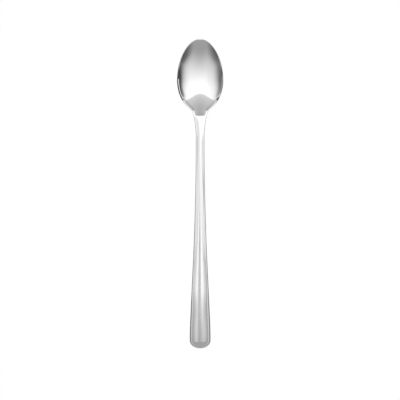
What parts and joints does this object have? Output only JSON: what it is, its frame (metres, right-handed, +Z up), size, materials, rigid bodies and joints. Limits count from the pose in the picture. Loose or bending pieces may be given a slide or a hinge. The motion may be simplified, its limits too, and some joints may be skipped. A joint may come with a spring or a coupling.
{
  "type": "iced tea spoon",
  "caption": "Long-handled iced tea spoon: an oval bowl with a narrow bevelled rim, a slim flared neck and an arched, crowned handle that widens to a rounded, bordered end.",
  "frame": {"origin": "on the table that the spoon lies on, under the middle of its length and width", "axes": "+Y from the handle towards the bowl's tip, +Z up out of the open bowl, +X to the right when the bowl points away"},
  "size_m": [0.0284, 0.19, 0.0165],
  "materials": {
    "steel": "mirror-polished stainless steel, finely brushed lengthwise along the handle, with light wear on the rim and the belly"
  },
  "bodies": {
    "root": {"spoon": "steel"}
  },
  "joints": []
}
